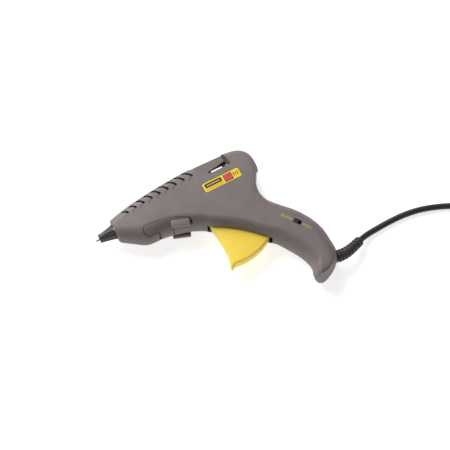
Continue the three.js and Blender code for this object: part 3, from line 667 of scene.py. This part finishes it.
def casing_half(name, side):
    """One half of the casing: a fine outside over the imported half's own inside."""
    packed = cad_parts[name].data.copy()
    packed.transform(TO_DESIGN)
    bm = bmesh.new()
    bm.from_mesh(packed)
    bmesh.ops.remove_doubles(bm, verts=bm.verts, dist=0.0005)
    bm.to_mesh(packed)
    bm.free()
    inside = carve(hull(1.2, 0.006, 0.994, 120, 10), "DIFFERENCE", packed)
    reach = (0.15, 40) if side > 0 else (-40, -0.15)
    half = carve(hull(0, lip=1.8), "INTERSECT", box((-10, 300), (-200, 60), reach))
    return carve(half, "DIFFERENCE", *casing_cutters(), inside)


piece("casing_left", casing_half("body_left", 1), CASING, stands_for=["body_left"])
piece("casing_right", casing_half("body_right", -1), CASING, stands_for=["body_right"])


# ---------------------------------------------------------------- nozzle and collar
TIP_LINE = [(0.5, 0.8), (0.15, 0.9), (0, 1.2), (0.05, 1.6), (0.4, 1.95), (3.3, 2.1), (4.2, 2.5), (4.8, 3),
            (19, 6), (22.2, 6), (22.2, 2.6), (4, 2.6), (3, 0.8)]
SLEEVE_LINE = [(4.2, 3.3), (4.2, 4.6), (4.5, 4.9), (7, 5.2), (12, 6.25), (17, 7.3), (19.6, 7.85), (20.6, 8.1),
               (21.1, 7.9), (21.2, 7.5), (21.2, 6.4), (19, 6.4)]


def sleeve_flute(x, a):
    """Eight shallow flats along the sleeve, fading out at its rear rim."""
    depth = 0.085 * ease((20.2 - x) / 2)
    return 1 - depth * (0.5 - 0.5 * math.cos(8 * a)) ** 1.4


piece("nozzle_metal", turned(TIP_LINE), TIP, stands_for=["nozzle_tip"])
piece("nozzle_cover", turned(SLEEVE_LINE, 144, sleeve_flute), RUBBER, stands_for=["nozzle_sleeve"],
      sharp=40)
piece("inlet_collar", turned([(167, 6.6), (167, 8), (182, 8), (182, 10.2), (182.2, 10.4), (184.1, 10.4),
                              (184.6, 10.2), (184.9, 9.6), (184.9, 7.9), (184.6, 7.3), (183.3, 6.6)]),
      BLACK, stands_for=["stick_collar"])


# ---------------------------------------------------------------- trigger
def trigger():
    """The yellow blade, its hub on the pivot, and the two fork arms that push the carriage."""
    front = smooth_line([(117, -31), (111, -39.5), (111.8, -54), (112.2, -64), (112, -73), (111, -81),
                         (109.4, -88), (107.9, -92.4)], 44)
    tip = [(107.75, -93.6), (108.1, -94.5), (108.8, -95), (109.8, -94.9)]
    rear = smooth_line([(159, -76.5), (150, -62), (136, -42), (130, -31)], 12)
    outline = front + tip + arc(PIVOT, 59.6, -100, -53.5, 40) + rear
    blade = softened(prism(outline, -6.5, 6.5), 2, 5, 60)
    fork_in, fork_out = 8.9, 10.9
    hub = rod(PIVOT, 6.2, -fork_out, fork_out)
    reach, lean = 30, math.radians(79)
    tx, ty = PIVOT[0] + reach * math.cos(lean), PIVOT[1] + reach * math.sin(lean)
    arm = [(PIVOT[0] - 5, PIVOT[1] + 2), (PIVOT[0] + 5.6, PIVOT[1] + 0.5), (tx + 1.9, ty), (tx - 1.9, ty)]
    forks = [*both(arm, fork_in, fork_out), *both(circle((tx, ty), 2.4), fork_in, fork_out)]
    return carve(joined(blade, hub, *forks), "DIFFERENCE", rod(PIVOT, 2.8, -20, 20))


piece("trigger_grip", trigger(), YELLOW, "trigger", ["trigger"])


# ---------------------------------------------------------------- stand
def stand():
    """Two arms with a foot plate each, and the bridge that joins them under the belly."""
    arm = [*stand_arc(STAND_END, -60, 32), (66.4, -17.6), (74.2, -19.3), (85.1, -23.7), (95, -29.7),
           (92.2, -36.1), (76, -31), (75, -35), (BRIDGE_START, -33), (BRIDGE_START, -28.4)]
    outside = hull(0, 0.04, 0.24, 80)
    bridge = carve(hull(0.04, 0.04, 0.24, 80), "DIFFERENCE", hull(2.2, 0.02, 0.26, 80))
    bridge = carve(bridge, "INTERSECT", box((BRIDGE_START, 74.6), (-60, -22), (-30, 30)))
    length, width, tilt = 19, 6.8, -20
    a = math.radians(tilt)
    middle = (74.6 + length / 2 * math.cos(a), -26.6 + length / 2 * math.sin(a))
    foot = rounded(slanted(middle, length, width, tilt), 1.2)
    arms = [carve(part, "INTERSECT", outside.copy()) for part in both(arm, STAND_Z, 30)]
    feet = [softened(part, 0.5, 3, 60) for part in both(foot, STAND_Z + 1.6, 17.45)]
    hole = rod(STAND_HINGE, HOLE_RADIUS, -HOLE_END, HOLE_END)
    return carve(joined(bridge, *arms, *feet), "DIFFERENCE", hole)


piece("front_stand", stand(), CASING, "stand", ["stand"])


# ---------------------------------------------------------------- switch, label, marks
def knob():
    """The switch's grooved cap and the plate that holds it in its slot, at the low end of its travel."""
    turn = math.radians(SWITCH_ANGLE)
    back = 1.5  # from the middle of the slot, half the travel
    at = (SWITCH_AT[0] - back * math.cos(turn), SWITCH_AT[1] - back * math.sin(turn))
    cap = softened(prism(slanted(at, 5, 4.2, SWITCH_ANGLE), 13.8, FLANK - 0.1), 0.3)
    plate = prism(slanted(at, 8, 7, SWITCH_ANGLE), 12.4, 14.2)
    grips = [prism(slanted((at[0] + d * math.cos(turn), at[1] + d * math.sin(turn)), 0.5, 5, SWITCH_ANGLE),
                   FLANK - 0.6, FLANK) for d in (-1.5, -0.5, 0.5, 1.5)]
    return carve(joined(cap, plate), "DIFFERENCE", *grips)


piece("heat_slider", knob(), BLACK, "switch", ["switch_knob"])


LABEL_X, LABEL_Y = (122, 164), (-13.5, -3)
LABEL_FACE = FLANK - 0.06


def printed(name, outline, finish, lift=0.03, base=LABEL_FACE):
    """A print: a thin plate on the label, or on the flank."""
    piece(name, prism(outline, base, base + lift), finish)


def on_label(x0, y0, x1, y1):
    """A rectangle on the label, from shares of its length and height."""
    long, high = LABEL_X[1] - LABEL_X[0], LABEL_Y[1] - LABEL_Y[0]
    return [(LABEL_X[0] + long * x, LABEL_Y[0] + high * y) for x, y in rectangle((x0, x1), (y0, y1))]


def make_label():
    film = prism(rounded(rectangle(LABEL_X, LABEL_Y), 1.5), FLANK - 0.5, LABEL_FACE)
    piece("label_film", film, FILM, stands_for=["rating_label"])
    printed("label_block", rounded(rectangle((124, 143.4), (-9.4, -4.4)), 1.2), INK)
    printed("label_block_line", rectangle((126, 141.4), (-7.3, -6.5)), FILM, 0.04)
    for line in (0, 1):
        for i in range(10):
            x, y = 124.4 + 1.95 * i, -12.3 + 1.35 * line
            printed(f"label_dash_{line + 1}_{i + 1}", rectangle((x, x + 1.3), (y, y + 0.7)), FAINT_INK)
    printed("label_square", on_label(0.565, 0.1, 0.79, 0.9), INK)
    printed("label_square_fill", on_label(0.585, 0.2, 0.77, 0.86), RED_INK, 0.04)
    printed("label_square_dot", circle((150.9, -7), 0.9, 24), INK, 0.05)
    for i, tall in enumerate((4.6, 3.2, 4.6)):
        x = 156.6 + 2.2 * i
        printed(f"label_stroke_{i + 1}", rectangle((x, x + 0.9), (-8 - tall / 2, -8 + tall / 2)), INK)


make_label()


def make_marks():
    """Rows of plain bars on either side of the switch: four pairs for the high heat, three for the low."""
    thick, apart, shorter = 0.75, 1.5, 0.7  # of a pair's two bars, one is a little shorter
    turn = math.radians(SWITCH_ANGLE)
    along, across = Vector((math.cos(turn), math.sin(turn))), Vector((-math.sin(turn), math.cos(turn)))
    sets = (("high", [(-17.4, 3.4), (-14.2, 3.4), (-11, 3.4), (-7.8, 3.4)]),
            ("low", [(6.6, 2.9), (9.9, 2.9), (13.2, 2.9)]))
    for name, bars in sets:
        for i, (d, tall) in enumerate(bars):
            for k, shift in enumerate((0, apart)):
                at = Vector(SWITCH_AT) + along * (d + shift) - across * 0.4
                bar = slanted(at, thick, tall - shorter * (k if name == "high" else 1 - k), SWITCH_ANGLE)
                printed(f"mark_{name}_{i + 1}_{k + 1}", bar, GOLD, 0.06, FLANK - 0.02)


make_marks()


# ---------------------------------------------------------------- strain relief
def relief():
    """A plain root in the casing, then round-edged ribs along a tapering sleeve, and a lip at the cord."""
    count, ribs = 420, 7
    first, last, lip = 0.16, 0.94, 0.985  # where the ribs start and end, and where the end starts to round
    radii = []
    for i in range(count + 1):
        t = i / count
        skin = 7 - 1.7 * t
        if t < first:
            r = 6
        elif t < last:
            wave = 0.5 + 0.5 * math.cos(2 * math.pi * ribs * (t - first) / (last - first))
            r = skin - 1.5 * ease((wave - 0.45) / 0.35)
        else:
            r = skin
        if t > lip:
            r -= 1.2 * ((t - lip) / (1 - lip)) ** 2
        radii.append(r)
    line = [spline(RELIEF, i / count) for i in range(count + 1)]
    return loft(tube_rings(line, radii, 48))


piece("cord_guard", relief(), RUBBER, stands_for=["strain_relief"], sharp=50)


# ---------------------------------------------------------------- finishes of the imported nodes
FINISHES = {
    YELLOW: ["feed_carriage"],
    ALLOY: ["heating_chamber", "thermal_fuse"],
    CERAMIC: ["chamber_ring_front", "chamber_ring_rear", "ptc_heater"],
    STEEL: ["heater_clip", "sleeve_clamp", "gripper_jaw", "jaw_pin", "return_spring", "trigger_pin",
            "stand_pin", *[f"housing_screw_{i + 1}" for i in range(len(SCREWS))]],
    SILICONE: ["inlet_sleeve"],
    BLACK: ["switch_body", "cord_clamp"],
    RED_WIRE: ["live_wire", "switch_wire"],
    BLUE_WIRE: ["neutral_wire"],
    CORD: ["cord_inner"],
}
for finish, names in FINISHES.items():
    for name in names:
        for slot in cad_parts[name].material_slots:
            slot.material = finish


# ---------------------------------------------------------------- floor and lights
def make_floor():
    """A white floor that glows a little, so that it comes out nearly as white as the photograph's ground."""
    reach, height = 4, -0.0003
    mesh = bpy.data.meshes.new("floor")
    corners = rectangle((-reach, reach), (-reach, reach))
    mesh.from_pydata([(x, y, height) for x, y in corners], [], [(0, 1, 2, 3)])
    finish = bpy.data.materials.new("floor")
    finish.use_nodes = True
    shader = finish.node_tree.nodes["Principled BSDF"]
    shader.inputs["Base Color"].default_value = (0.8, 0.8, 0.8, 1)
    shader.inputs["Roughness"].default_value = 0.9
    shader.inputs["Emission Color"].default_value = (1, 1, 1, 1)
    shader.inputs["Emission Strength"].default_value = 0.72
    mesh.materials.append(finish)
    floor = bpy.data.objects.new("floor", mesh)
    scene.collection.objects.link(floor)


def area_light(name, at, target, size, power):
    data = bpy.data.lights.new(name, "AREA")
    data.size = size
    data.energy = power
    light = bpy.data.objects.new(name, data)
    light.location = at
    light.rotation_euler = (Vector(target) - Vector(at)).to_track_quat("-Z", "Y").to_euler()
    scene.collection.objects.link(light)


make_floor()
area_light("key", at=(-0.2, 1.25, 1.25), target=(0.03, -0.03, 0), size=1.3, power=39.5)
area_light("fill", at=(-1.3, -0.5, 1.0), target=(0, -0.03, 0), size=1.2, power=3)
world = bpy.data.worlds.new("studio")
world.use_nodes = True
world.node_tree.nodes["Background"].inputs["Color"].default_value = (1, 0.94, 0.9, 1)
world.node_tree.nodes["Background"].inputs["Strength"].default_value = 0.16
scene.world = world
scene.view_settings.view_transform = "Standard"
